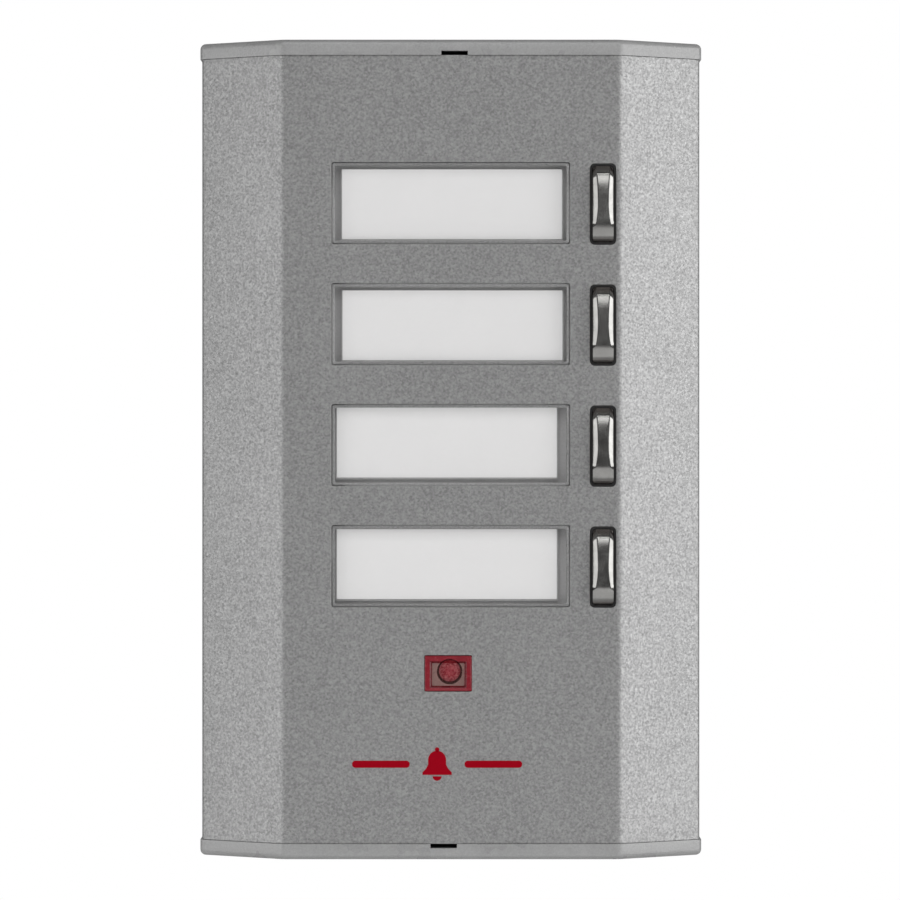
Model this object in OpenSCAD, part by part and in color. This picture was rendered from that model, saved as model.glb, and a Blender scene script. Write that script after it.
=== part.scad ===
// Surface-mounted call panel for a door intercom: an extruded front, two pull-off end caps,
// four name windows with four sprung call keys, an indicator window and a rear wall plate.
// X runs to the right, Y towards the wall and Z up. The wall is the plane Y = 0.

/* [Body] */
// Width of the extruded front
body_w = 106.4; // [102:0.2:110]
// Height of the whole panel, with both end caps
panel_h = 173.5; // [172:0.5:190]
// Depth from the wall to the front face
body_d = 26; // [26:0.5:30]
// Width of the flat front face between its two bevels
face_w = 71.5; // [70:0.5:76]
// How far the bevels fall back from the front face
bevel_d = 12.5; // [10:0.5:13]
// Wall thickness of the extrusion
wall_t = 1.6; // [1.4:0.1:1.8]
// Radius of the two front edges
edge_r = 3; // [1:0.5:4]
// Radius where each bevel turns into the side
side_r = 1.2; // [0.6:0.2:2]

/* [End caps] */
// Thickness of each end cap
cap_t = 3.3; // [3:0.1:4]
// How far a cap stands proud of the extrusion
cap_over = 0.4; // [0.2:0.1:0.6]
// Radius of a cap's outer edge
cap_edge_r = 1.2; // [0.4:0.1:1.4]
// Width of the prying notch
notch_w = 5.6; // [4:0.1:8]
// Height of the prying notch
notch_h = 0.9; // [0.8:0.05:1.4]
// Sideways place of the top cap's notch
top_notch_x = 0.8; // [-5:0.1:5]
// Sideways place of the bottom cap's notch
bottom_notch_x = -1.5; // [-5:0.1:5]

/* [Call rows] */
// Number of call rows
row_count = 4; // [1:1:4]
// Distance from one row to the next
row_pitch = 25.6; // [25:0.1:25.8]
// Height of the first row's centre
first_row_z = 52.1; // [51:0.1:53]

/* [Name windows] */
// Width of the opening for a name window
window_w = 50.5; // [49.8:0.1:51]
// Height of the opening for a name window
window_h = 17.4; // [17.2:0.1:18.4]
// How far a window stands proud of the front face
window_proud = 0.3; // [0:0.1:0.5]
// Width of a name card
card_w = 46.6; // [45:0.1:46.8]
// Height of a name card
card_h = 14.8; // [14:0.1:14.8]
// Thickness of a name card
card_t = 0.25; // [0.15:0.05:0.25]

/* [Call keys] */
// Sideways place of the keys
key_x = 32.2; // [32:0.1:32.3]
// How far each key sits below the middle of its window
key_drop = 0.2; // [0:0.1:0.4]
// Width of a key
key_w = 4.4; // [4:0.1:4.4]
// Length of a key
key_h = 16.1; // [15:0.1:16.1]
// How far a key stands proud of the front face
key_proud = 2; // [1.6:0.1:2.4]
// Travel of a key
key_travel = 1.2; // [0.8:0.1:1.4]

/* [Indicator] */
// Width of the indicator opening
indicator_w = 10.1; // [9.6:0.05:11]
// Height of the indicator opening
indicator_h = 7.7; // [7.4:0.05:8.4]
// Sideways place of the indicator
indicator_x = -0.55; // [-3:0.05:3]
// Height of the indicator's centre
indicator_z = -47.4; // [-48:0.1:-46]

/* [Wall plate] */
// Sideways distance between the mounting holes
hole_pitch_x = 60; // [56:1:64]
// Upright distance between the mounting holes
hole_pitch_z = 120; // [116:1:124]
// Radius of a mounting hole
hole_r = 2.25; // [2:0.05:2.5]
// Height of the cable entry's centre
cable_z = -68; // [-70:0.5:-66]
// Radius of the cable entry's bore
cable_r = 4.5; // [3:0.5:5]

/* [Hidden] */
$fn = 48;
rows = [for (i = [1 : row_count]) i];
per_row = [
    "name_window", "name_card", "card_holder", "light_diffuser", "key_cap",
    "key_carrier", "return_spring", "switch_body", "switch_plunger",
];

// Fits: a sliding gap, a gap between parts that are dropped in, and the overrun of a cut.
slide_gap = 0.05;
drop_gap = 0.2;
cut = 1;
arc_steps = 6;

// Levels along Y, from the front face back to the wall.
face_y = -body_d;
skin_y = face_y + wall_t;
window_flange_t = 1.2;
carrier_y = skin_y + window_flange_t;
carrier_t = 1.5;
board_t = 1.6;
board_y = -12.6;
board_back_y = board_y + board_t;
rear_y = -0.4;

// Extrusion: slope of the bevels, its length, the lips that hold the wall plate, the ribs
// that take the board screws and the round ports that take the end caps' pegs.
slope = atan2(bevel_d, (body_w - face_w) / 2);
profile_h = panel_h - 2 * cap_t;
half_h = profile_h / 2;
lip_t = 1.7;
lip_w = 2.4;
rib_x = 40;
rib_w = 4.4;
groove_w = 2.2;
groove_d = 6;
port_x = body_w / 2 - 4.1;
port_y = -9;
port_r = 1.6;
port_outer_r = 2.8;

// End caps: wall around the pocket, tongue behind the front skin, and pegs.
pocket_wall = 3.2;
pocket_d = 1.5;
tongue_w = 60;
tongue_d = 4;
tongue_t = 1.35;
tongue_gap = 0.15;
peg_r = port_r - slide_gap;
peg_l = 8;

// Name windows: plug, rear flange, and the pocket that holds the card and its holder.
plug_w = window_w - 2 * drop_gap;
plug_h = window_h - 2 * drop_gap;
window_flange_w = window_w + 2.8;
window_flange_h = window_h + 2.6;
pocket_w = 49;
pocket_h = 16.2;
card_pocket_y = skin_y + 0.2;
card_y = card_pocket_y + 0.05;
holder_y = card_y + card_t;
holder_rim = 0.3;
holder_open_w = 43;
holder_open_h = 11.6;
tab_w = 1.4;
tab_h = 0.35;
tab_x = 17.2;
// Where each card has settled in its loose pocket, sideways and upwards.
card_shifts = [[0.25, -0.15], [0.35, -0.2], [-0.85, 0.55], [-0.85, 0.4]];

// Light boxes behind the windows, and the diffusers that close them.
light_w = 45;
light_h = 13;
chamber_w = 47.4;
chamber_h = 15.4;
chamber_wall = 1.2;
diffuser_step = 0.8;

// Call keys, their guide and the switches behind them.
sleeve_w = 5.4;
sleeve_h = 17.1;
sleeve_r = 1;
key_hole_gap = 0.05;
bore_gap = 0.1;
sleeve_inset = 0.15;
guide_left = key_x - 5;
guide_right = key_x + 2.9;
guide_t = 2;
guide_y = skin_y + guide_t;
well_w = 6.2;
well_h = 18.2;
well_wall = 1.1;
flange_w = 5.8;
flange_h = 17.8;
flange_t = 1;
cap_seat_y = face_y + 1;
key_crown = 0.35;
key_upper_slope = 2;
key_lower_slope = 2.8;
key_facet_w = 1.28;
key_facet_d = 1;
tenon_w = 2.4;
tenon_h = 12;
tenon_d = 1.4;
stem_r = 1.5;
switch_w = 6;
switch_h = 3.5;
switch_y = board_y - switch_h;
plunger_r = 1.75;
plunger_y = switch_y - 2.3;
plunger_in = 0.8;
switch_lead_in = 0.6;
spring_r = 2.4;
spring_wire_r = 0.2;
spring_turns = 5;

// Indicator: hollow red window over a 5 mm round diode, which sits a little off its centre.
led_x = indicator_x + 0.3;
led_z = indicator_z + 0.4;
led_r = 2.5;
led_h = 8.6;
led_lead_x = 1.27;
led_tip_y = skin_y + 1.2;
led_base_y = led_tip_y + led_h;
recess_w = 7;
recess_h = 5.2;

// Board, its screws and the parts soldered to it.
board_w = 86;
board_top = 66;
board_bottom = -60;
board_screw_z = [62, -56];
terminal_count = 7;
terminal_pitch = 5;
terminal_z = -53.5;
terminal_depth = 8.2;
terminal_h = 8.2;
resistor_count = 5;
resistor_x = -28;
resistor_z = 24;
diode_count = 4;
diode_x = -8;
diode_z = 22;
part_pitch = 5;
lead_span = 11;
capacitor_r = 4;
capacitor_x = 14;
capacitor_z = 14;
capacitor_h = 7.2;
backlight_x = 12;
backlight_t = 1.9;
terminal_x = [for (i = [0 : terminal_count - 1]) (i - (terminal_count - 1) / 2) * terminal_pitch];

// Wall plate: base, raised edges that slide behind the lips, and the cable entry.
plate_t = 2.2;
plate_half_w = body_w / 2 - wall_t - lip_w - 0.3;
plate_edge_in = plate_half_w - 1.8;
plate_edge_out = body_w / 2 - wall_t - 0.3;
plate_edge_y = rear_y - lip_t - 0.1;
plate_edge_t = 1.8;
plate_h = profile_h - 0.4;
entry_r = 8;
entry_recess_r = 10.5;
entry_recess_d = 0.9;
grommet_lip = 1.2;
panel_pos = [21, 7];
panel_size = [34, 90];
panel_depth = 0.7;
boss_r = 5;
boss_d = 1;
rib_pair_x = 15;
plate_rib_w = 1.2;

function row_z(i) = first_row_z - (i - 1) * row_pitch;
function key_z(i) = row_z(i) - key_drop;
function unit(v) = v / norm(v);

// Points of a closed outline with each corner replaced by an arc of radius r.
function rounded_path(points, r) = [
    for (i = [0 : len(points) - 1])
        let (
            here = points[i],
            u = unit(points[(i + len(points) - 1) % len(points)] - here),
            v = unit(points[(i + 1) % len(points)] - here),
            radius = is_list(r) ? r[i] : r,
            half = acos(u * v) / 2,
            centre = here + unit(u + v) * radius / sin(half),
            from = here + u * radius / tan(half) - centre,
            to = here + v * radius / tan(half) - centre,
            a = atan2(from[1], from[0]),
            turn = (atan2(to[1], to[0]) - a + 540) % 360 - 180
        )
        for (k = [0 : arc_steps])
            centre + radius * [cos(a + turn * k / arc_steps), sin(a + turn * k / arc_steps)]
];

// Corners of the panel's cross-section, grown outwards by o.
function shell_corners(o, back_y) =
    let (
        x1 = face_w / 2 + o * tan(slope / 2),
        x2 = body_w / 2 + o,
        y1 = face_y - o,
        y2 = face_y + bevel_d - o * tan((90 - slope) / 2)
    )
    [[-x2, back_y], [-x2, y2], [-x1, y1], [x1, y1], [x2, y2], [x2, back_y]];

function shell_outline(o, back_y) =
    rounded_path(
        shell_corners(o, back_y),
        [0.3, side_r + o, edge_r + o, edge_r + o, side_r + o, 0.3]
    );

function rectangle(w, h) = [[-w / 2, -h / 2], [w / 2, -h / 2], [w / 2, h / 2], [-w / 2, h / 2]];

// Extrudes a shape drawn in X and Z from the level y0 back to the level y1.
module slab(y0, y1) {
    translate([0, y1, 0])
        rotate([90, 0, 0])
            linear_extrude(y1 - y0)
                children();
}

// Rectangle with round corners, centred on [x, z], from y0 to y1.
module rounded_block(w, h, r, x, z, y0, y1) {
    slab(y0, y1)
        translate([x, z])
            polygon(rounded_path(rectangle(w, h), r));
}

module block(w, h, x, z, y0, y1) {
    translate([x - w / 2, y0, z - h / 2])
        cube([w, y1 - y0, h]);
}

// Cylinder along Y from y0 to y1.
module rod(r, x, z, y0, y1) {
    translate([x, y1, z])
        rotate([90, 0, 0])
            cylinder(r = r, h = y1 - y0);
}

module mirrored_x() {
    children();
    mirror([1, 0, 0])
        children();
}

// ---------------------------------------------------------------- extruded front

module profile_section() {
    inner_back = rear_y - lip_t;
    lip_x = body_w / 2 - wall_t - lip_w;
    difference() {
        polygon(shell_outline(0, rear_y));
        polygon(shell_corners(-wall_t, inner_back));
        translate([-lip_x, inner_back - cut])
            square([2 * lip_x, lip_t + 2 * cut]);
    }
}

// Rib on the inside of a bevel, with a groove that self-tapping screws bite into.
module screw_rib() {
    difference() {
        intersection() {
            translate([rib_x - rib_w / 2, face_y])
                square([rib_w, board_y - face_y]);
            polygon(shell_corners(-wall_t / 2, 0));
        }
        translate([rib_x - groove_w / 2, board_y - groove_d])
            square([groove_w, groove_d + cut]);
    }
}

module port_section() {
    difference() {
        translate([port_x, port_y])
            circle(port_outer_r);
        translate([port_x, port_y])
            circle(port_r);
    }
}

module front_openings() {
    y0 = face_y - cut;
    y1 = skin_y + cut;
    for (i = rows) {
        rounded_block(window_w, window_h, 0.5, 0, row_z(i), y0, y1);
        rounded_block(
            sleeve_w + 2 * key_hole_gap, sleeve_h + 2 * key_hole_gap, sleeve_r,
            key_x, key_z(i), y0, y1
        );
    }
    rounded_block(indicator_w, indicator_h, 0.3, indicator_x, indicator_z, y0, y1);
}

module front_profile() color([0.55, 0.55, 0.55]) {
    difference() {
        translate([0, 0, -half_h])
            linear_extrude(profile_h) {
                profile_section();
                mirrored_x() {
                    screw_rib();
                    port_section();
                }
            }
        front_openings();
    }
}

// ---------------------------------------------------------------- end caps

// Cap body from z0 up to z1 with its upper edge rounded.
module rounded_cap(z0, z1) {
    hull() {
        translate([0, 0, z0])
            linear_extrude(z1 - z0 - cap_edge_r)
                polygon(shell_outline(cap_over, rear_y));
        for (k = [1 : arc_steps]) {
            a = 90 * k / arc_steps;
            translate([0, 0, z1 - cap_edge_r * (1 - sin(a)) - 0.01])
                linear_extrude(0.01)
                    polygon(shell_outline(cap_over - cap_edge_r * (1 - cos(a)), rear_y));
        }
    }
}

module end_cap(notch_x) color([0.62, 0.62, 0.62]) {
    z0 = half_h;
    difference() {
        rounded_cap(z0, z0 + cap_t);
        translate([0, 0, z0 - cut])
            linear_extrude(pocket_d + cut)
                polygon(shell_corners(-pocket_wall, rear_y - lip_t));
        translate([notch_x - notch_w / 2, face_y - cut, z0 - cut])
            cube([notch_w, pocket_wall + 2 * cut, notch_h + cut]);
    }
    translate([-tongue_w / 2, skin_y + tongue_gap, z0 - tongue_d])
        difference() {
            cube([tongue_w, tongue_t, tongue_d + 0.5]);
            translate([tongue_w / 2 + notch_x - notch_w / 2, -cut, tongue_d])
                cube([notch_w, tongue_t + 2 * cut, 1]);
        }
    mirrored_x()
        translate([port_x, port_y, z0 - peg_l])
            cylinder(r = peg_r, h = peg_l + cap_t - 1);
}

module top_cap() {
    end_cap(top_notch_x);
}

module bottom_cap() {
    mirror([0, 0, 1])
        end_cap(bottom_notch_x);
}

// ---------------------------------------------------------------- name windows

module name_window(i) color([0.85, 0.88, 0.9, 0.4]) {
    difference() {
        union() {
            rounded_block(plug_w, plug_h, 0.4, 0, row_z(i), face_y - window_proud, carrier_y);
            block(window_flange_w, window_flange_h, 0, row_z(i), skin_y, carrier_y);
        }
        block(pocket_w, pocket_h, 0, row_z(i), card_pocket_y, carrier_y + cut);
    }
}

module name_card(i) color([0.92, 0.92, 0.92]) {
    shift = card_shifts[i - 1];
    block(card_w, card_h, shift[0], row_z(i) + shift[1], card_y, card_y + card_t);
}

// Thin frame behind a card; two tabs on its lower edge carry the card.
module card_holder(i) color([0.42, 0.42, 0.43]) {
    shift = card_shifts[i - 1];
    top = card_h / 2 + 0.1;
    bottom = -card_h / 2 - 0.05 - tab_h;
    translate([shift[0], 0, row_z(i) + shift[1]]) {
        difference() {
            block(
                card_w + 2 * holder_rim, top - bottom, 0, (top + bottom) / 2,
                holder_y, carrier_y
            );
            block(holder_open_w, holder_open_h, 0, 0, holder_y - cut, carrier_y + cut);
        }
        for (side = [-1, 1])
            block(tab_w, tab_h, side * tab_x, bottom + tab_h / 2, card_y, carrier_y);
    }
}

module light_diffuser(i) color([0.95, 0.95, 0.9]) {
    back = carrier_y + carrier_t;
    block(light_w - drop_gap, light_h - drop_gap, 0, row_z(i), carrier_y, back);
    block(
        chamber_w - 2 * drop_gap, chamber_h - 2 * drop_gap, 0, row_z(i),
        back, back + diffuser_step
    );
}

// One moulding that presses all the windows forward and makes a light box behind each.
module window_carrier() color([0.3, 0.3, 0.31]) {
    back = carrier_y + carrier_t;
    top = first_row_z + window_flange_h / 2;
    bottom = row_z(row_count) - window_flange_h / 2;
    difference() {
        union() {
            block(window_flange_w, top - bottom, 0, (top + bottom) / 2, carrier_y, back);
            for (i = rows)
                block(
                    chamber_w + 2 * chamber_wall, chamber_h + 2 * chamber_wall, 0, row_z(i),
                    back - 0.5, board_y
                );
        }
        for (i = rows) {
            block(light_w, light_h, 0, row_z(i), carrier_y - cut, back + cut);
            block(chamber_w, chamber_h, 0, row_z(i), back, board_y + cut);
        }
    }
}

// ---------------------------------------------------------------- call keys

// Bar with a crowned top, sloping ends and two long side facets: its outline, its side
// view and its end view are cut from one another.
module key_bar() {
    front = face_y - key_proud;
    half = key_h / 2;
    shoulder_y = front + key_crown;
    edge_y = face_y - 0.2;
    ridge_y = front - 0.2;
    ridge_half_w = key_w / 2 - key_facet_w;
    facet_y = ridge_y + key_facet_d;
    side_view = [
        [cap_seat_y, -half], [edge_y, -half], [shoulder_y, -half + key_lower_slope],
        [ridge_y, (key_lower_slope - key_upper_slope) / 2],
        [shoulder_y, half - key_upper_slope], [edge_y, half], [cap_seat_y, half],
    ];
    end_view = [
        [-key_w / 2, cap_seat_y], [key_w / 2, cap_seat_y], [key_w / 2, facet_y],
        [ridge_half_w, ridge_y], [-ridge_half_w, ridge_y], [-key_w / 2, facet_y],
    ];
    intersection() {
        rounded_block(key_w, key_h, 0.9, 0, 0, front - cut, cap_seat_y);
        translate([-key_w, 0, 0])
            rotate([90, 0, 90])
                linear_extrude(2 * key_w)
                    polygon(rounded_path(side_view, [0.1, 0.3, 0.6, 30, 0.6, 0.3, 0.1]));
        translate([0, 0, -key_h])
            linear_extrude(2 * key_h)
                polygon(rounded_path(end_view, [0.1, 0.1, 0.3, 0.2, 0.2, 0.3]));
    }
}

module key_cap(i) color([0.8, 0.8, 0.78]) {
    translate([key_x, 0, key_z(i)])
        difference() {
            key_bar();
            block(
                tenon_w + 2 * slide_gap, tenon_h + 2 * slide_gap, 0, 0,
                cap_seat_y - tenon_d - slide_gap, cap_seat_y + cut
            );
        }
}

// Plastic plunger under a key: tenon, body, stop flange and stem.
module key_carrier(i) color([0.1, 0.1, 0.1]) {
    z = key_z(i);
    block(tenon_w, tenon_h, key_x, z, cap_seat_y - tenon_d, cap_seat_y + 0.5);
    rounded_block(key_w - 0.2, key_h - 0.2, 0.8, key_x, z, cap_seat_y, guide_y);
    block(flange_w, flange_h, key_x, z, guide_y, guide_y + flange_t);
    rod(stem_r, key_x, z, guide_y + flange_t - 0.2, plunger_y);
}

// Black moulding behind the front: a sleeve through each key hole and a well around each key.
module key_guide() color([0.06, 0.06, 0.06]) {
    top = first_row_z + window_flange_h / 2;
    bottom = row_z(row_count) - window_flange_h / 2;
    difference() {
        union() {
            block(
                guide_right - guide_left, top - bottom, (guide_left + guide_right) / 2,
                (top + bottom) / 2, skin_y, guide_y
            );
            for (i = rows) {
                rounded_block(
                    sleeve_w, sleeve_h, sleeve_r, key_x, key_z(i), face_y + sleeve_inset, guide_y
                );
                block(
                    well_w + 2 * well_wall, well_h + 2 * well_wall, key_x, key_z(i),
                    guide_y - 0.5, board_y
                );
            }
        }
        for (i = rows) {
            rounded_block(
                key_w + 2 * bore_gap, key_h + 2 * bore_gap, 0.9, key_x, key_z(i),
                face_y - cut, guide_y + cut
            );
            block(well_w, well_h, key_x, key_z(i), guide_y, board_y + cut);
        }
    }
}

// Round-wire coil between a key's flange and its switch.
module return_spring(i) color([0.7, 0.7, 0.72]) {
    sides = 8;
    steps = 20;
    y0 = guide_y + flange_t + spring_wire_r;
    y1 = switch_y - spring_wire_r;
    count = spring_turns * steps;
    points = [
        for (k = [0 : count])
            let (a = 360 * k / steps, y = y0 + (y1 - y0) * k / count)
            for (s = [0 : sides - 1])
                let (
                    b = 360 * s / sides,
                    r = spring_r + spring_wire_r * cos(b)
                )
                [key_x + r * cos(a), y + spring_wire_r * sin(b), key_z(i) + r * sin(a)]
    ];
    walls = [
        for (k = [0 : count - 1])
            for (s = [0 : sides - 1])
                let (t = (s + 1) % sides)
                [k * sides + s, k * sides + t, (k + 1) * sides + t, (k + 1) * sides + s]
    ];
    ends = [
        [for (s = [sides - 1 : -1 : 0]) s],
        [for (s = [0 : sides - 1]) count * sides + s],
    ];
    polyhedron(points, concat(walls, ends));
}

module switch_body(i) color([0.12, 0.12, 0.13]) {
    z = key_z(i);
    difference() {
        union() {
            block(switch_w, switch_w, key_x, z, switch_y, board_y);
            for (side = [-1, 1])
                block(
                    0.3, 0.8, key_x + side * (switch_w / 2 - switch_lead_in), z + 2,
                    board_y, board_back_y + 1
                );
        }
        rod(plunger_r + slide_gap, key_x, z, switch_y - cut, board_y - 1);
    }
}

module switch_plunger(i) color([0.2, 0.2, 0.2]) {
    rod(plunger_r, key_x, key_z(i), plunger_y, switch_y + plunger_in);
}

// ---------------------------------------------------------------- indicator

module indicator_window() color([0.55, 0.02, 0.06, 0.6]) {
    w = indicator_w - drop_gap;
    h = indicator_h - drop_gap;
    difference() {
        union() {
            rounded_block(w, h, 0.25, indicator_x, indicator_z, face_y - 0.1, skin_y + 1);
            block(w + 2, h + 2, indicator_x, indicator_z, skin_y, skin_y + 1);
        }
        block(recess_w, recess_h, indicator_x, indicator_z, face_y + 1, skin_y + 2);
    }
}

module indicator_led() color([0.8, 0.1, 0.12]) {
    dome = [
        for (k = [0 : 8])
            [led_r * sin(90 * k / 8), led_h - led_r * (1 - cos(90 * k / 8))]
    ];
    flange = [[led_r, 1], [led_r + 0.4, 1], [led_r + 0.4, 0], [0, 0]];
    translate([led_x, led_base_y, led_z])
        rotate([90, 0, 0])
            rotate_extrude()
                polygon(concat(dome, flange));
    for (side = [-1, 1])
        block(0.5, 0.5, led_x + side * led_lead_x, led_z, led_base_y - 0.5, board_back_y + 1);
}

module led_spacer() color([0.08, 0.08, 0.08]) {
    difference() {
        rod(led_r + 0.2, led_x, led_z, led_base_y, board_y);
        for (side = [-1, 1])
            block(0.7, 0.7, led_x + side * led_lead_x, led_z, led_base_y - cut, board_y + cut);
    }
}

// ---------------------------------------------------------------- circuit board

module circuit_board() color([0.05, 0.3, 0.14]) {
    difference() {
        slab(board_y, board_back_y)
            translate([0, (board_top + board_bottom) / 2])
                polygon(rounded_path(rectangle(board_w, board_top - board_bottom), 1));
        for (side = [-1, 1]) {
            for (z = board_screw_z)
                rod(1.6, side * rib_x, z, board_y - cut, board_back_y + cut);
            block(
                0.7, 0.7, led_x + side * led_lead_x, led_z,
                board_y - cut, board_back_y + cut
            );
            for (i = rows)
                block(
                    0.5, 1, key_x + side * (switch_w / 2 - switch_lead_in), key_z(i) + 2,
                    board_y - cut, board_back_y + cut
                );
        }
    }
}

module board_screws() color([0.75, 0.75, 0.76]) {
    head_h = 1.6;
    for (x = [-rib_x, rib_x])
        for (z = board_screw_z)
            difference() {
                union() {
                    rod(1.05, x, z, board_back_y - 6.5, board_back_y + 0.5);
                    rod(2.7, x, z, board_back_y, board_back_y + head_h);
                }
                for (turn = [0, 90])
                    translate([x, board_back_y + head_h, z])
                        rotate([0, turn, 0])
                            cube([3, 1.6, 0.6], center = true);
            }
}

module backlight_leds() color([0.95, 0.93, 0.75]) {
    for (i = rows)
        for (x = [-backlight_x, backlight_x])
            block(3.5, 2.8, x, row_z(i), board_y - backlight_t, board_y);
}

module terminal_block() color([0.1, 0.35, 0.2]) {
    w = terminal_count * terminal_pitch + 0.8;
    back = board_back_y + terminal_h;
    difference() {
        block(w, terminal_depth, 0, terminal_z, board_back_y, back);
        for (x = terminal_x) {
            block(3.4, 8, x, terminal_z - 2.1, board_back_y + 0.7, board_back_y + 4.1);
            rod(1.95, x, terminal_z, board_back_y + 4, back + cut);
        }
    }
}

// Metal cages that grip the wires, one in each pole.
module terminal_clamps() color([0.78, 0.76, 0.66]) {
    y0 = board_back_y + 0.8;
    y1 = board_back_y + 4;
    for (x = terminal_x)
        difference() {
            block(3.2, 4.6, x, terminal_z - 0.5, y0, y1);
            block(2.2, 6, x, terminal_z - 0.5, y0 + 0.5, y1 - 0.9);
            rod(1.3, x, terminal_z, y1 - 1.5, y1 + cut);
        }
}

module terminal_screws() color([0.75, 0.75, 0.76]) {
    head_y = board_back_y + 6.4;
    for (x = terminal_x)
        difference() {
            union() {
                rod(1.25, x, terminal_z, board_back_y + 2.6, head_y + 0.2);
                rod(1.8, x, terminal_z, head_y, head_y + 1.2);
            }
            block(4, 0.5, x, terminal_z, head_y + 0.6, head_y + 2);
        }
}

// Two-lead part lying on the back of the board, with its leads bent down to it.
module axial_part(x, z, body_r, body_l, span) {
    y = board_back_y + body_r + 0.1;
    lead_r = 0.3;
    translate([x - body_l / 2, y, z])
        rotate([0, 90, 0])
            cylinder(r = body_r, h = body_l);
    translate([x - span / 2, y, z])
        rotate([0, 90, 0])
            cylinder(r = lead_r, h = span);
    for (side = [-1, 1])
        rod(lead_r, x + side * (span / 2 - lead_r), z, board_back_y, y + lead_r);
}

module resistors() color([0.75, 0.62, 0.42]) {
    for (k = [0 : resistor_count - 1])
        axial_part(resistor_x, resistor_z - k * part_pitch, 1.15, 6.2, lead_span);
}

module diodes() color([0.08, 0.08, 0.08]) {
    for (k = [0 : diode_count - 1])
        axial_part(diode_x, diode_z - k * part_pitch, 1.3, 5, lead_span);
}

module capacitor() color([0.1, 0.12, 0.2]) {
    rod(capacitor_r, capacitor_x, capacitor_z, board_back_y, board_back_y + capacitor_h);
}

// ---------------------------------------------------------------- wall plate

module plate_section() {
    mirrored_x()
        polygon([
            [0, -plate_t], [0, 0], [plate_half_w, 0], [plate_half_w, plate_edge_y],
            [plate_edge_out, plate_edge_y], [plate_edge_out, plate_edge_y - plate_edge_t],
            [plate_edge_in, plate_edge_y - plate_edge_t], [plate_edge_in, -plate_t],
        ]);
}

module wall_plate() color([0.13, 0.13, 0.14]) {
    difference() {
        union() {
            translate([0, 0, -plate_h / 2])
                linear_extrude(plate_h)
                    plate_section();
            for (x = [-1, 1] * hole_pitch_x / 2)
                for (z = [-1, 1] * hole_pitch_z / 2)
                    rod(boss_r, x, z, -plate_t - boss_d, -plate_t / 2);
            for (x = [-rib_pair_x, rib_pair_x])
                block(
                    plate_rib_w, panel_size[1], x, panel_pos[1],
                    -plate_t - boss_d, -plate_t / 2
                );
        }
        for (x = [-1, 1] * hole_pitch_x / 2)
            for (z = [-1, 1] * hole_pitch_z / 2)
                rod(hole_r, x, z, -plate_t - boss_d - cut, cut);
        // Shallow panels in the back, so that the plate bears on its border and its bosses.
        for (x = [-1, 1] * panel_pos[0])
            rounded_block(panel_size[0], panel_size[1], 3, x, panel_pos[1], -panel_depth, cut);
        rod(entry_r, 0, cable_z, -plate_t - cut, cut);
        rod(entry_recess_r, 0, cable_z, -entry_recess_d, cut);
    }
}

module cable_grommet() color([0.05, 0.05, 0.05]) {
    difference() {
        union() {
            rod(entry_recess_r - 0.3, 0, cable_z, -entry_recess_d, -0.05);
            rod(entry_r - slide_gap, 0, cable_z, -plate_t - 0.3, -0.3);
            rod(entry_recess_r - 0.5, 0, cable_z, -plate_t - grommet_lip, -plate_t);
        }
        rod(cable_r, 0, cable_z, -plate_t - grommet_lip - cut, cut);
    }
}

front_profile();
top_cap();
bottom_cap();
wall_plate();
cable_grommet();
window_carrier();
key_guide();
circuit_board();
board_screws();
terminal_block();
terminal_clamps();
terminal_screws();
resistors();
diodes();
capacitor();
backlight_leds();
indicator_window();
indicator_led();
led_spacer();
for (i = rows) {
    name_window(i);
    name_card(i);
    card_holder(i);
    light_diffuser(i);
    key_cap(i);
    key_carrier(i);
    return_spring(i);
    switch_body(i);
    switch_plunger(i);
}
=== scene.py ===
import math

import bmesh
import bpy
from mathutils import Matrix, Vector


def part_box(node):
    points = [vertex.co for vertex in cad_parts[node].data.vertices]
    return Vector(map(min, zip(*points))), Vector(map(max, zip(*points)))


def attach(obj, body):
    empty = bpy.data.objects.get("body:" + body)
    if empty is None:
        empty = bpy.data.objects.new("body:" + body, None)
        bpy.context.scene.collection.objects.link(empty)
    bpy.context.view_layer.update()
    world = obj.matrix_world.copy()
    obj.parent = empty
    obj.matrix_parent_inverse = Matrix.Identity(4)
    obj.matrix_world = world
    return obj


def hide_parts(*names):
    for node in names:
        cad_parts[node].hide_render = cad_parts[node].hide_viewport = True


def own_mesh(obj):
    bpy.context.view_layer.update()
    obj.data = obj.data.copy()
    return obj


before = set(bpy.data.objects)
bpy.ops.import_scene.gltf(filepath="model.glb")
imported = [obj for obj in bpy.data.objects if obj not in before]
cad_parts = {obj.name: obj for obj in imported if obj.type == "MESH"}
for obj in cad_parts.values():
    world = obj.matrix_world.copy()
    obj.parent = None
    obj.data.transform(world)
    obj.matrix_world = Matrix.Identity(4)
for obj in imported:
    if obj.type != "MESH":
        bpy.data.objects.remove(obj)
bpy.context.view_layer.update()

MM = 0.001
ROWS = (1, 2, 3, 4)
PANEL = "panel"
WINDOW_FLANGE = 1.2 * MM
CREASE = 28  # degrees; an edge that bends more stays sharp

# Levels read from the CAD model: the flat front, the back of its skin, and a key's back and top.
FACE_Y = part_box("front_profile")[0].y
SKIN_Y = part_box("name_window_1")[1].y - WINDOW_FLANGE
KEY_SEAT_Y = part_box("key_cap_1")[1].y
KEY_FRONT_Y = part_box("key_cap_1")[0].y


def middle(node):
    """Centre of a CAD node's box."""
    low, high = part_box(node)
    return (low + high) / 2


def extent(node):
    """Size of a CAD node's box."""
    low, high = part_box(node)
    return high - low


# ------------------------------------------------------------------ materials

ACRYLIC_IOR = 1.49


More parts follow.
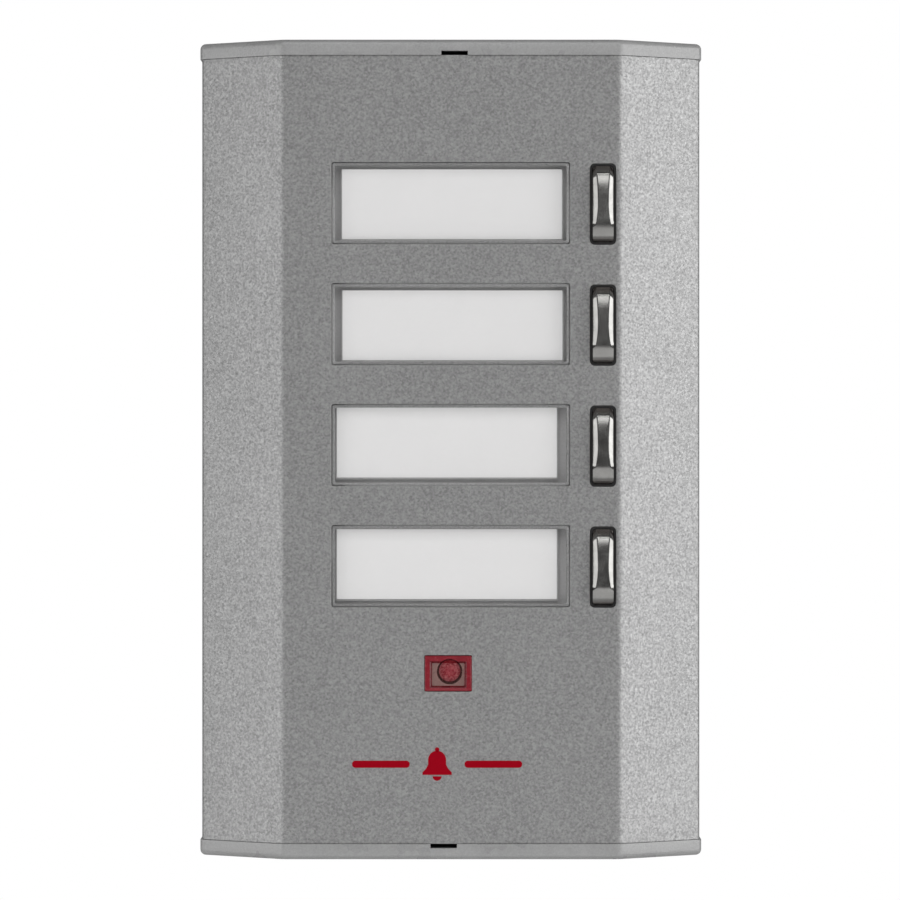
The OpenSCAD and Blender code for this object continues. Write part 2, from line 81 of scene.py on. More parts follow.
class Finish:
    """One material, with short calls for the nodes that colour and roughen it."""

    def __init__(self, name):
        self.material = bpy.data.materials.new(name)
        self.material.use_nodes = True
        self.tree = self.material.node_tree
        self.tree.nodes.clear()
        self.output = self.node("ShaderNodeOutputMaterial")
        self.place = self.node("ShaderNodeTexCoord").outputs["Object"]

    def node(self, kind, **settings):
        """Adds one node with the given properties."""
        made = self.tree.nodes.new(kind)
        for key, value in settings.items():
            setattr(made, key, value)
        return made

    def feed(self, socket, value):
        """Links value to the socket if it comes from a node, else sets it there."""
        if isinstance(value, bpy.types.NodeSocket):
            self.tree.links.new(value, socket)
        else:
            socket.default_value = value

    def stretched(self, x, y, z):
        """The place on the object, with each axis multiplied."""
        scaled = self.node("ShaderNodeMapping")
        self.feed(scaled.inputs["Vector"], self.place)
        scaled.inputs["Scale"].default_value = (x, y, z)
        return scaled.outputs["Vector"]

    def noise(self, size, detail=3, rough=0.55, where=None):
        """Cloudy 0 to 1 pattern whose features are about size metres across."""
        made = self.node("ShaderNodeTexNoise")
        self.feed(made.inputs["Vector"], where or self.place)
        made.inputs["Scale"].default_value = 1 / size
        made.inputs["Detail"].default_value = detail
        made.inputs["Roughness"].default_value = rough
        return made.outputs["Fac"]

    def flakes(self, size):
        """Random 0 to 1 value for each cell, one cell about size metres across."""
        made = self.node("ShaderNodeTexVoronoi")
        self.feed(made.inputs["Vector"], self.place)
        made.inputs["Scale"].default_value = 1 / size
        split = self.node("ShaderNodeSeparateColor")
        self.feed(split.inputs["Color"], made.outputs["Color"])
        return split.outputs["Red"]

    def spread(self, value, low, high, from_low=0.3, from_high=0.7):
        """Maps the value to low..high, by default from the range that noise mostly keeps to."""
        made = self.node("ShaderNodeMapRange")
        self.feed(made.inputs["Value"], value)
        made.inputs["From Min"].default_value = from_low
        made.inputs["From Max"].default_value = from_high
        made.inputs["To Min"].default_value = low
        made.inputs["To Max"].default_value = high
        return made.outputs["Result"]

    def sum(self, a, b, how="ADD"):
        """Sum of two values, or another operation on them."""
        made = self.node("ShaderNodeMath", operation=how)
        self.feed(made.inputs[0], a)
        self.feed(made.inputs[1], b)
        return made.outputs["Value"]

    def blend(self, factor, a, b):
        """Colour that goes from a to b as the factor goes from 0 to 1."""
        made = self.node("ShaderNodeMix", data_type="RGBA")
        self.feed(made.inputs["Factor"], factor)
        self.feed(made.inputs["A"], a)
        self.feed(made.inputs["B"], b)
        return made.outputs["Result"]

    def shades(self, value, darkest, lightest):
        """Grey or coloured ramp between two colours."""
        return self.blend(value, (*darkest, 1), (*lightest, 1))

    def bump(self, height, depth, onto=None):
        """Normal of a relief that is depth metres deep, over another relief if one is given."""
        made = self.node("ShaderNodeBump")
        made.inputs["Distance"].default_value = depth
        self.feed(made.inputs["Height"], height)
        if onto:
            self.feed(made.inputs["Normal"], onto)
        return made.outputs["Normal"]

    def shader(self, **sockets):
        """Principled shader with the named sockets set or linked."""
        made = self.node("ShaderNodeBsdfPrincipled")
        for key, value in sockets.items():
            self.feed(made.inputs[key.replace("_", " ")], value)
        return made.outputs["BSDF"]

    def outer_fresnel(self):
        """Share of light mirrored by a clear acrylic skin, counted only on the way in."""
        edge_on = self.node("ShaderNodeFresnel")
        edge_on.inputs["IOR"].default_value = ACRYLIC_IOR
        inside = self.node("ShaderNodeNewGeometry").outputs["Backfacing"]
        return self.sum(edge_on.outputs[0], self.sum(1.0, inside, "SUBTRACT"), "MULTIPLY")

    def along(self, axis):
        """How far along one axis the place is."""
        split = self.node("ShaderNodeSeparateXYZ")
        self.feed(split.inputs[0], self.place)
        return split.outputs[axis]

    def reach(self, centre):
        """Distance from a line along Y through the centre."""
        offset = self.node("ShaderNodeVectorMath", operation="SUBTRACT")
        self.feed(offset.inputs[0], self.stretched(1, 0, 1))
        offset.inputs[1].default_value = (centre.x, 0, centre.z)
        length = self.node("ShaderNodeVectorMath", operation="LENGTH")
        self.feed(length.inputs[0], offset.outputs["Vector"])
        return length.outputs["Value"]

    def within(self, centre, radius, blur, inner, outer):
        """One value inside a round area, another from blur beyond its radius outwards."""
        return self.spread(self.reach(centre), inner, outer, radius, radius + blur)

    def over(self, factor, under, upper):
        """Shader between two others, the upper one by the given share."""
        made = self.node("ShaderNodeMixShader")
        self.feed(made.inputs[0], factor)
        self.feed(made.inputs[1], under)
        self.feed(made.inputs[2], upper)
        return made.outputs[0]

    def done(self, shader):
        """Ends the material with its shader."""
        self.feed(self.output.inputs["Surface"], shader)
        return self.material


def grey(value):
    """Neutral colour."""
    return (value, value, value)


def sparkle_paint():
    """Silver-grey paint with fine metallic flakes and a slight orange peel."""
    f = Finish("sparkle_paint")
    fine = f.flakes(0.38 * MM)
    coarse = f.noise(0.55 * MM, detail=2)
    cloud = f.noise(14 * MM, detail=2)
    speck = f.sum(f.spread(fine, -0.2, 0.2, 0, 1), f.spread(coarse, -0.23, 0.23))
    tone = f.sum(speck, f.spread(cloud, 0.47, 0.53))
    colour = f.shades(tone, grey(0.205), grey(0.455))
    peel = f.bump(f.noise(0.9 * MM, detail=2), 0.006 * MM)
    tilt = f.bump(fine, 0.03 * MM, onto=peel)
    rough = f.sum(f.spread(fine, 0.015, -0.015, 0, 1), f.spread(coarse, 0.49, 0.41))
    return f.done(f.shader(Base_Color=colour, Metallic=0.55, Roughness=rough, Normal=tilt))


def moulded(name, dark, light, rough=0.5, grain=0.35 * MM, depth=0.008 * MM, specular=0.5):
    """Moulded plastic with a fine eroded grain and faint patches of wear."""
    f = Finish(name)
    grain_map = f.noise(grain, detail=4, rough=0.6)
    patch = f.noise(9 * MM)
    tone = f.sum(f.spread(grain_map, 0.2, 0.8), f.spread(patch, -0.2, 0.2))
    return f.done(f.shader(
        Base_Color=f.shades(tone, dark, light),
        Roughness=f.spread(patch, rough - 0.06, rough + 0.08),
        Specular_IOR_Level=specular,
        Normal=f.bump(grain_map, depth)))


def worn_plating():
    """Bright plating, scratched along the key, duller in patches, and darker where it lies low:
    grime with painted shade.
    """
    f = Finish("worn_plating")
    scratches = f.noise(0.12 * MM, rough=0.7, where=f.stretched(1, 1, 0.05))
    wear = f.noise(2.5 * MM, detail=4, rough=0.6)
    tone = f.sum(f.spread(scratches, 0.35, 0.65), f.spread(wear, -0.25, 0.25))
    bright = f.shades(tone, (0.20, 0.198, 0.19), (0.37, 0.366, 0.355))
    # Painted shade with grime: the plating turns darker brown where the key lies low, near the
    # face, in the shade of its recess.
    low_shade_and_grime = f.spread(f.along("Y"), 0, 0.7, FACE_Y - 1.3 * MM, FACE_Y - 0.7 * MM)
    colour = f.blend(low_shade_and_grime, bright, (0.20, 0.175, 0.165, 1))
    rough = f.sum(f.spread(scratches, 0.04, 0.10), f.spread(wear, 0.10, 0.18))
    return f.done(f.shader(
        Base_Color=colour, Metallic=1.0, Roughness=rough,
        Normal=f.bump(scratches, 0.0012 * MM)))


def bright_metal(name, dark, light, rough=0.3):
    """Bare or plated metal with fine working marks."""
    f = Finish(name)
    turned = f.noise(0.3 * MM, detail=4, rough=0.7)
    return f.done(f.shader(
        Base_Color=f.shades(turned, dark, light), Metallic=1.0,
        Roughness=f.spread(turned, rough - 0.08, rough + 0.1),
        Normal=f.bump(turned, 0.002 * MM)))


def card_paper():
    """Off-white card stock with short fibres and a painted glow that lifts the shade in its
    pocket.
    """
    f = Finish("card_paper")
    fibre = f.noise(0.4 * MM, detail=5, rough=0.7, where=f.stretched(0.4, 1, 1))
    cloud = f.noise(8 * MM, detail=2)
    tone = f.sum(f.spread(fibre, 0.3, 0.7), f.spread(cloud, -0.15, 0.15))
    return f.done(f.shader(
        Base_Color=f.shades(tone, (0.70, 0.70, 0.696), (0.735, 0.735, 0.73)),
        Roughness=f.spread(fibre, 0.75, 0.9), Specular_IOR_Level=0.2,
        # Painted glow: a faint white emission on the card, standing in for its backlight and
        # evening out the shade of its pocket.
        Emission_Color=(1, 1, 1, 1), Emission_Strength=0.18,
        Normal=f.bump(fibre, 0.004 * MM)))


def clear_plastic():
    """Clear window: what lies behind shows through, under a faint moulded gloss."""
    f = Finish("clear_plastic")
    ripple = f.noise(6 * MM, detail=2)
    skin = f.bump(ripple, 0.01 * MM)
    through = f.node("ShaderNodeBsdfTransparent")
    through.inputs["Color"].default_value = (0.988, 0.986, 0.987, 1)
    gloss = f.node("ShaderNodeBsdfGlossy")
    f.feed(gloss.inputs["Roughness"], f.spread(f.noise(3 * MM), 0.03, 0.09))
    f.feed(gloss.inputs["Normal"], skin)
    return f.done(f.over(f.outer_fresnel(), through.outputs[0], gloss.outputs[0]))


def painted_chamfer_highlight():
    """Chamfer and sides of a clear window, with a painted highlight: light grey frosting stands in
    for the light the clear edge refracts.
    """
    f = Finish("painted_chamfer_highlight")
    haze = f.noise(0.5 * MM)
    # Painted highlight: a light grey body over the clear chamfer makes the bright line round the
    # window.
    body = f.shader(
        Base_Color=f.shades(haze, grey(0.38), grey(0.52)),
        Roughness=f.spread(haze, 0.25, 0.4), Normal=f.bump(haze, 0.006 * MM))
    through = f.node("ShaderNodeBsdfTransparent")
    return f.done(f.over(f.spread(haze, 0.5, 0.65), through.outputs[0], body))


def red_plastic(name, dark, light, solid, lamp_at, clear_radius):
    """Clear red plastic, solid by the given share but clearer in front of the diode."""
    f = Finish(name)
    swirl = f.noise(1.4 * MM)
    body = f.shader(
        Base_Color=f.shades(swirl, dark, light),
        Roughness=f.spread(swirl, 0.18, 0.3), Normal=f.bump(swirl, 0.008 * MM))
    through = f.node("ShaderNodeBsdfTransparent")
    through.inputs["Color"].default_value = (0.7, 0.2, 0.22, 1)
    cover = f.within(lamp_at, clear_radius, 0.1 * MM, inner=0.25, outer=solid)
    return f.done(f.over(cover, through.outputs[0], body))


def red_pane(lamp_at, clear_radius):
    """Thin floor of the indicator's recess: hazy, but clear in front of the diode."""
    f = Finish("red_pane")
    haze = f.noise(0.5 * MM, detail=4)
    body = f.shader(
        Base_Color=f.shades(haze, (0.20, 0.115, 0.105), (0.36, 0.22, 0.20)),
        Roughness=f.spread(haze, 0.25, 0.4), Normal=f.bump(haze, 0.006 * MM))
    through = f.node("ShaderNodeBsdfTransparent")
    through.inputs["Color"].default_value = (0.97, 0.72, 0.72, 1)
    frost = f.within(lamp_at, clear_radius, 0.1 * MM, inner=0.08, outer=0.8)
    return f.done(f.over(frost, through.outputs[0], body))


def led_lens(centre, bright_radius):
    """Red lens, mottled, deeper red in the middle, with painted shade darkening its rim."""
    f = Finish("led_lens")
    # Painted shade: outside the bright radius the lens turns near-black, darkening its rim.
    rim = f.within(centre, bright_radius, 0.15 * MM, inner=0, outer=1)
    mottle = f.noise(0.7 * MM, detail=4, rough=0.7)
    heart = f.shades(f.spread(mottle, 0, 1, 0.4, 0.6), (0.34, 0.02, 0.06), (0.72, 0.38, 0.42))
    core = f.within(centre, 0, 1.7 * MM, inner=0.75, outer=0)
    deep = f.blend(core, heart, (0.30, 0.03, 0.09, 1))
    colour = f.blend(rim, deep, (0.035, 0.002, 0.004, 1))
    return f.done(f.shader(
        Base_Color=colour, Roughness=f.spread(mottle, 0.12, 0.3),
        Emission_Color=colour, Emission_Strength=0.3, Normal=f.bump(mottle, 0.02 * MM)))


def board_green():
    """Solder resist over a glass-fibre weave."""
    f = Finish("board_green")
    weave = f.node("ShaderNodeTexWave", wave_type="BANDS", bands_direction="X")
    f.feed(weave.inputs["Vector"], f.place)
    weave.inputs["Scale"].default_value = 0.6 / MM
    weave.inputs["Distortion"].default_value = 1
    tone = f.noise(5 * MM)
    return f.done(f.shader(
        Base_Color=f.shades(tone, (0.008, 0.07, 0.03), (0.014, 0.10, 0.045)),
        Roughness=f.spread(tone, 0.25, 0.4),
        Normal=f.bump(weave.outputs["Fac"], 0.002 * MM)))


def rubber():
    """Matt black rubber with a faint bloom."""
    f = Finish("grommet_rubber")
    bloom = f.noise(1.2 * MM, detail=4)
    return f.done(f.shader(
        Base_Color=f.shades(bloom, grey(0.012), grey(0.03)),
        Roughness=f.spread(bloom, 0.6, 0.8), Specular_IOR_Level=0.3,
        Normal=f.bump(bloom, 0.01 * MM)))


def printed_red():
    """Pad-printed ink, slightly uneven."""
    f = Finish("printed_red")
    uneven = f.noise(0.45 * MM, detail=4)
    return f.done(f.shader(
        Base_Color=f.shades(uneven, (0.27, 0.0, 0.006), (0.38, 0.0, 0.011)),
        Roughness=f.spread(uneven, 0.5, 0.65), Specular_IOR_Level=0.05,
        Normal=f.bump(uneven, 0.003 * MM)))


# ------------------------------------------------------------------ CAD nodes


def weld_and_smooth():
    """Modifier group: joins the faces of a CAD mesh and shades its curves smooth."""
    group = bpy.data.node_groups.new("weld_and_smooth", "GeometryNodeTree")
    for way in ("INPUT", "OUTPUT"):
        group.interface.new_socket("Geometry", in_out=way, socket_type="NodeSocketGeometry")
    add = group.nodes.new
    start, end = add("NodeGroupInput"), add("NodeGroupOutput")
    forget = add("GeometryNodeRemoveAttribute")
    forget.inputs["Name"].default_value = "custom_normal"
    weld = add("GeometryNodeMergeByDistance")
    weld.inputs["Distance"].default_value = 0.002 * MM
    smooth = add("GeometryNodeSetShadeSmooth")
    crease = add("GeometryNodeSetShadeSmooth")
    crease.domain = "EDGE"
    crease.inputs["Shade Smooth"].default_value = False
    angle = add("GeometryNodeInputMeshEdgeAngle")
    steep = add("FunctionNodeCompare")
    steep.operation = "GREATER_THAN"
    steep.inputs[1].default_value = math.radians(CREASE)
    chain = (start, forget, weld, smooth, crease, end)
    for a, b in zip(chain, chain[1:]):
        group.links.new(a.outputs[0], b.inputs["Geometry"])
    group.links.new(angle.outputs["Unsigned Angle"], steep.inputs[0])
    group.links.new(steep.outputs["Result"], crease.inputs["Selection"])
    return group


WELD = weld_and_smooth()


def shade(obj):
    """Adds the modifier that welds and smooths a CAD mesh."""
    obj.modifiers.new("shade", "NODES").node_group = WELD


def finish_node(node, material, edge=0.0):
    """Gives a CAD node its material and, if edge is set, a small radius on its corners."""
    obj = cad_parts[node]
    obj.data.materials.clear()
    obj.data.materials.append(material)
    if edge:
        shade(obj)
        flatten = obj.modifiers.new("flatten", "DECIMATE")
        flatten.decimate_type = "DISSOLVE"
        flatten.angle_limit = math.radians(0.5)
        bevel = obj.modifiers.new("edge", "BEVEL")
        bevel.width = edge
        bevel.segments = 2
        bevel.limit_method = "ANGLE"
        bevel.angle_limit = math.radians(35)
        bevel.use_clamp_overlap = False
    shade(obj)


def per_row(kind, material):
    """Gives the same node of each row its material."""
    for row in ROWS:
        finish_node(f"{kind}_{row}", material)


# ------------------------------------------------------------------ new meshes


def arc(cx, cz, r, start, end, steps=16):
    """Points in X and Z on part of a circle, from one angle in degrees to another."""
    angles = [math.radians(start + (end - start) * k / steps) for k in range(steps + 1)]
    return [(cx + r * math.cos(a), cz + r * math.sin(a)) for a in angles]


def rounded_ring(w, h, r, centre, y, steps=6):
    """Corner-rounded rectangle facing -Y, as points in order, at the level y."""
    points = []
    corners = ((1, 1, 0), (-1, 1, 90), (-1, -1, 180), (1, -1, 270))
    for sx, sz, start in corners:
        cx = centre.x + sx * (w / 2 - r)
        cz = centre.z + sz * (h / 2 - r)
        points += [Vector((x, y, z)) for x, z in arc(cx, cz, r, start, start + 90, steps)]
    return points


def loft(name, rings, materials, slots=None, ends=0, crease=CREASE):
    """Closed mesh through rings of equal length; slots and ends give the bands' materials."""
    mesh = bmesh.new()
    made = [[mesh.verts.new(p) for p in ring] for ring in rings]
    count = len(rings[0])
    for band, (a, b) in enumerate(zip(made, made[1:])):
        for i in range(count):
            j = (i + 1) % count
            face = mesh.faces.new((a[i], a[j], b[j], b[i]))
            face.material_index = slots[band] if slots else 0
    mesh.faces.new(made[0]).material_index = ends
    mesh.faces.new(list(reversed(made[-1]))).material_index = ends
    return finish_mesh(name, mesh, materials, crease)


def finish_mesh(name, mesh, materials, crease=CREASE):
    """Turns a bmesh into an object with outward faces, smooth below the crease angle."""
    bmesh.ops.recalc_face_normals(mesh, faces=mesh.faces)
    data = bpy.data.meshes.new(name)
    mesh.to_mesh(data)
    mesh.free()
    for material in materials:
        data.materials.append(material)
    data.shade_smooth()
    data.set_sharp_from_angle(angle=math.radians(crease))
    obj = bpy.data.objects.new(name, data)
    bpy.context.scene.collection.objects.link(obj)
    return obj


def register(obj, body, slot, *nodes):
    """Ties a new piece to its body and hides the CAD nodes it replaces; slot is not used."""
    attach(obj, body)
    if nodes:
        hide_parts(*nodes)


def name_window(row, clear, chamfer_highlight):
    """Clear lens with a chamfered front edge, a rear flange and a pocket for the card."""
    node = f"name_window_{row}"
    centre, size = middle(node), extent(node)
    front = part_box(node)[0].y
    back, pocket_y = SKIN_Y + WINDOW_FLANGE, SKIN_Y + 0.2 * MM
    flange_w, flange_h = 1.6 * MM, 1.5 * MM
    plug_w, plug_h = size.x - 2 * flange_w, size.z - 2 * flange_h
    pocket_w, pocket_h = 49 * MM, 16.2 * MM
    chamfer, soften = 0.55 * MM, 0.1 * MM
    corner, top_corner, pocket_corner = 0.5 * MM, 0.35 * MM, 0.2 * MM

    def ring(w, h, r, y):
        return rounded_ring(w, h, r, centre, y)

    rings = [
        ring(plug_w - 2 * chamfer, plug_h - 2 * chamfer, top_corner, front),
        ring(plug_w - soften, plug_h - soften, corner, front + chamfer * 0.8),
        ring(plug_w, plug_h, corner, front + chamfer),
        ring(plug_w, plug_h, corner, SKIN_Y),
        ring(size.x, size.z, corner, SKIN_Y),
        ring(size.x, size.z, corner, back),
        ring(pocket_w, pocket_h, pocket_corner, back),
        ring(pocket_w, pocket_h, pocket_corner, pocket_y),
    ]
    # The chamfer and the plug's sides take the painted highlight.
    obj = loft(f"name_lens_{row}", rings, (clear, chamfer_highlight), slots=(1, 1, 1, 0, 0, 0, 0))
    register(obj, PANEL, "clear_plastic", node)


def smooth_min(values, radius):
    """Smallest of the values, with the creases between them rounded."""
    least = min(values)
    return least - radius * math.log(sum(math.exp((least - v) / radius) for v in values))


def key_height(x, z, half_h):
    """How far a key's surface stands proud of the panel's face at one point.

    Along the key, a crowned top is cut off by one slope at the upper end and three at the lower.
    Across it, the surface falls away outside two ridges that spread apart towards the ends.
    """
    from_top, from_bottom = half_h - z, half_h + z
    waist, flare_end, pad_start = 0.98 * MM, 5.8 * MM, 4.3 * MM
    flare = 0.25 * MM if z > 0 else 0.85 * MM
    ridge = waist + flare * (z / flare_end) ** 2 + max(-z - pad_start, 0)
    outside = max(abs(x) - ridge, 0)

    # Each slope has its own height at the key's end and its own rise from there.
    crown_drop, crown_end, crease_radius = 0.34 * MM, 6.5 * MM, 0.1 * MM
    crown = FACE_Y - KEY_FRONT_Y - crown_drop * max(z / crown_end, 0) ** 4
    upper = 0.02 * MM + 1.08 * (from_top - 0.7 * outside)
    lower = 0.98 * MM + 0.30 * from_bottom
    toe = 0.41 * MM + 0.85 * from_bottom
    rim = -0.20 * MM + 2.20 * from_bottom
    side_view = smooth_min((crown, upper, lower, toe, rim), crease_radius)

    ridge_radius, foot_radius, foot = 0.03 * MM, 0.06 * MM, -0.12 * MM
    fall = 0.33 * outside + 0.31 * outside ** 2 / MM
    rounded = -smooth_min((0, -fall), ridge_radius) - ridge_radius * math.log(2)
    return -smooth_min((rounded - side_view, -foot), foot_radius)


def key_grid(half_w, half_h, across=36, along=150):
    """Lines of points in X and Z over a key's rounded outline, bunched towards its ends."""
    corner, bunching = 0.9 * MM, math.radians(81)
    grid = []
    for i in range(along + 1):
        z = half_h * math.sin(bunching * (2 * i / along - 1)) / math.sin(bunching)
        into = min(max(abs(z) - (half_h - corner), 0), corner)
        w = half_w - corner + math.sqrt(corner ** 2 - into ** 2)
        grid.append([(w * (2 * j / across - 1), z) for j in range(across + 1)])
    return grid


def key_cap(row, plating):
    """Plated metal bar: crowned top, sloping ends, long rounded facets, hollow underneath."""
    node = f"key_cap_{row}"
    centre, size = middle(node), extent(node)
    half_w, half_h = size.x / 2, size.z / 2
    hollow_half_w, hollow_half_h, hollow_depth = 1.25 * MM, 6.05 * MM, 1.45 * MM
    mesh = bmesh.new()

    def put(x, z, y):
        return mesh.verts.new((centre.x + x, y, centre.z + z))

    grid = key_grid(half_w, half_h)
    along, across = len(grid) - 1, len(grid[0]) - 1
    top = [[put(x, z, FACE_Y - key_height(x, z, half_h)) for x, z in line] for line in grid]
    for a, b in zip(top, top[1:]):
        for j in range(across):
            mesh.faces.new((a[j], a[j + 1], b[j + 1], b[j]))

    # From the grid's outline, the sides run back to the seat, in to the hollow and up into it.
    edge = [(0, j) for j in range(across)]
    edge += [(i, across) for i in range(along)]
    edge += [(along, j) for j in range(across, 0, -1)]
    edge += [(i, 0) for i in range(along, 0, -1)]
    loops = [[top[i][j] for i, j in edge]]
    hollow_y = KEY_SEAT_Y - hollow_depth
    for level, shrink in ((KEY_SEAT_Y, False), (KEY_SEAT_Y, True), (hollow_y, True)):
        loop = []
        for i, j in edge:
            x, z = grid[i][j]
            if shrink:
                x = min(max(x, -hollow_half_w), hollow_half_w)
                z = min(max(z, -hollow_half_h), hollow_half_h)
            loop.append(put(x, z, level))
        loops.append(loop)
    for a, b in zip(loops, loops[1:]):
        for k in range(len(edge)):
            n = (k + 1) % len(edge)
            mesh.faces.new((a[k], a[n], b[n], b[k]))
    mesh.faces.new(loops[-1])
    weld_distance = 0.001 * MM
    bmesh.ops.remove_doubles(mesh, verts=mesh.verts, dist=weld_distance)
    obj = finish_mesh(f"key_bar_{row}", mesh, (plating,), crease=50)
    register(obj, f"call_key_{row}", "plated_metal", node)


def return_spring(row, steel):
    """Round-wire coil with closed ends, built at its rest length; the real spring shortens as its
    key goes in.
    """
    node = f"return_spring_{row}"
    low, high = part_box(node)
    centre = middle(node)
    wire_radius, coil_radius = 0.2 * MM, 2.4 * MM
    closed_pitch = 2.05 * wire_radius
    turns, steps, sides = 6, 28, 10
    first, last = low.y + wire_radius, high.y - wire_radius
    open_length = last - first - 2 * closed_pitch
    rings = []
    for k in range(turns * steps + 1):
        turn = k / steps
        a = 2 * math.pi * turn
        first_turn, last_turn = min(turn, 1), max(turn - turns + 1, 0)
        between = min(max((turn - 1) / (turns - 2), 0), 1)
        rise = first + closed_pitch * (first_turn + last_turn) + open_length * between
        ring = []
        for s in range(sides):
            b = 2 * math.pi * s / sides
            r = coil_radius + wire_radius * math.cos(b)
            ring.append(Vector((
                centre.x + r * math.cos(a), rise + wire_radius * math.sin(b),
                centre.z + r * math.sin(a))))
        rings.append(ring)
    obj = loft(f"coil_{row}", rings, (steel,))
    register(obj, PANEL, "spring_steel", node)
    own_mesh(obj)


def indicator(frame_red, pane_red, lip_red_shaded):
    """Red window: raised frame with a stepped lip round a thin recessed pane."""
    node = "indicator_window"
    low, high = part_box(node)
    centre = middle(node)
    flange, pane_depth, pane_thickness = 1.0 * MM, 0.5 * MM, 0.5 * MM
    flange_w, flange_h = high.x - low.x, high.z - low.z
    frame_w, frame_h = flange_w - 2 * flange, flange_h - 2 * flange
    recess_w, recess_h, recess_drop, hollow_h = 7.0 * MM, 4.9 * MM, 0.22 * MM, 5.2 * MM
    recess_at = centre - Vector((0, 0, recess_drop))
    step, lip_depth, rim_depth = 0.4 * MM, 0.2 * MM, 0.08 * MM
    soften, round_over = 0.1 * MM, 0.15 * MM
    tight, corner, wide = 0.2 * MM, 0.25 * MM, 0.3 * MM
    pane_y = FACE_Y + pane_depth

    def ring(w, h, r, y, at=centre):
        return rounded_ring(w, h, r, at, y, steps=4)

    rings = [
        ring(recess_w - soften, recess_h - soften, tight, pane_y, recess_at),
        ring(recess_w, recess_h, tight, pane_y - soften, recess_at),
        ring(recess_w + step, recess_h + step, corner, low.y + lip_depth, recess_at),
        ring(recess_w + 2 * step, recess_h + 2 * step, wide, low.y + rim_depth, recess_at),
        ring(frame_w - 2 * round_over, frame_h - 2 * round_over, tight, low.y),
        ring(frame_w, frame_h, corner, low.y + round_over),
        ring(frame_w, frame_h, corner, SKIN_Y),
        ring(flange_w, flange_h, corner, SKIN_Y),
        ring(flange_w, flange_h, corner, high.y),
        ring(recess_w, hollow_h, tight, high.y),
        ring(recess_w, hollow_h, tight, pane_y + pane_thickness),
    ]
    frame_slot, pane_slot, lip_slot = 0, 1, 2
    # The lip bands take the darker red, which paints shade on the recess's stepped lip.
    slots = [lip_slot] * 3 + [frame_slot] * 7
    obj = loft(
        "indicator_frame", rings, (frame_red, pane_red, lip_red_shaded), slots, ends=pane_slot, crease=20)
    register(obj, PANEL, "red_clear", node)


def indicator_lamp(leg_metal):
    """Round-nosed diode with its flange and two leads."""
    node = "indicator_led"
    low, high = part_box(node)
    centre = middle(node)
    radius, bright_radius = 2.5 * MM, 2.17 * MM
    flange_radius, flange, chamfer = (high.x - low.x) / 2, 1.0 * MM, 0.1 * MM
    base = low.y + 8.6 * MM
    nose_steps, sides = 13, 40
    profile = [
        (flange_radius, base), (flange_radius, base - flange + chamfer),
        (flange_radius - chamfer, base - flange), (radius, base - flange)]
    for k in range(nose_steps):
        a = math.radians(90 * k / nose_steps)
        profile.append((radius * math.cos(a), low.y + radius - radius * math.sin(a)))
    rings = [
        [Vector((x, y, z)) for x, z in arc(centre.x, centre.z, r, 0, 360, sides)[:-1]]
        for r, y in profile]
    obj = loft("indicator_lamp", rings, (led_lens(centre, bright_radius),))
    register(obj, PANEL, "red_led", node)

    leg_pitch, leg_width, leg_corner, leg_end = 2.54 * MM, 0.5 * MM, 0.08 * MM, 0.1 * MM
    for name, side in (("left", -1), ("right", 1)):
        leg_centre = Vector((centre.x + side * leg_pitch / 2, 0, centre.z))
        rings = [
            rounded_ring(leg_width, leg_width, leg_corner, leg_centre, y, steps=2)
            for y in (base, high.y - leg_end, high.y)]
        leg = loft(f"lamp_leg_{name}", rings, (leg_metal,))
        register(leg, PANEL, "red_led")


def flat_print(name, outlines, material):
    """Thin raised print on the front face, from outlines in X and Z."""
    thickness = 0.04 * MM
    mesh = bmesh.new()
    for outline in outlines:
        back = [mesh.verts.new((x, FACE_Y, z)) for x, z in outline]
        front = [mesh.verts.new((x, FACE_Y - thickness, z)) for x, z in outline]
        mesh.faces.new(front)
        mesh.faces.new(list(reversed(back)))
        for i in range(len(outline)):
            j = (i + 1) % len(outline)
            mesh.faces.new((front[i], back[i], back[j], front[j]))
    obj = finish_mesh(name, mesh, (material,))
    register(obj, PANEL, "silver_paint")


def bell_sign(ink):
    """Generic bell between two short bars, printed below the indicator."""
    cx, cz = -2.9 * MM, -66.6 * MM
    foot = cz - 2.25 * MM
    skirt_half, skirt_edge = 3.1 * MM, 0.55 * MM
    dome_radius, dome_z = 1.9 * MM, cz + 0.95 * MM
    knob_radius, knob_z = 0.47 * MM, dome_z + dome_radius + 0.28 * MM
    clapper_radius, clapper_z = 0.95 * MM, foot - 0.3 * MM
    right = [
        (skirt_half, foot), (skirt_half, foot + skirt_edge), (2.35 * MM, foot + 1.3 * MM),
        (dome_radius, foot + 2.2 * MM)]
    left = [(-x, z) for x, z in reversed(right)]
    bell = [(cx + x, z) for x, z in right + arc(0, dome_z, dome_radius, 0, 180) + left]
    knob = arc(cx, knob_z, knob_radius, 0, 360)[:-1]
    clapper = arc(cx, clapper_z, clapper_radius, 180, 360)
    bar_w, bar_h, bar_corner, reach = 12.2 * MM, 1.5 * MM, 0.7 * MM, 18 * MM
    bars = []
    for side in (-1, 1):
        bar_centre = Vector((cx + side * (reach - bar_w / 2), 0, cz))
        ring = rounded_ring(bar_w, bar_h, bar_corner, bar_centre, 0)
        bars.append([(p.x, p.z) for p in ring])
    flat_print("bell_sign", [bell, knob, clapper, *bars], ink)


# ------------------------------------------------------------------ the panel

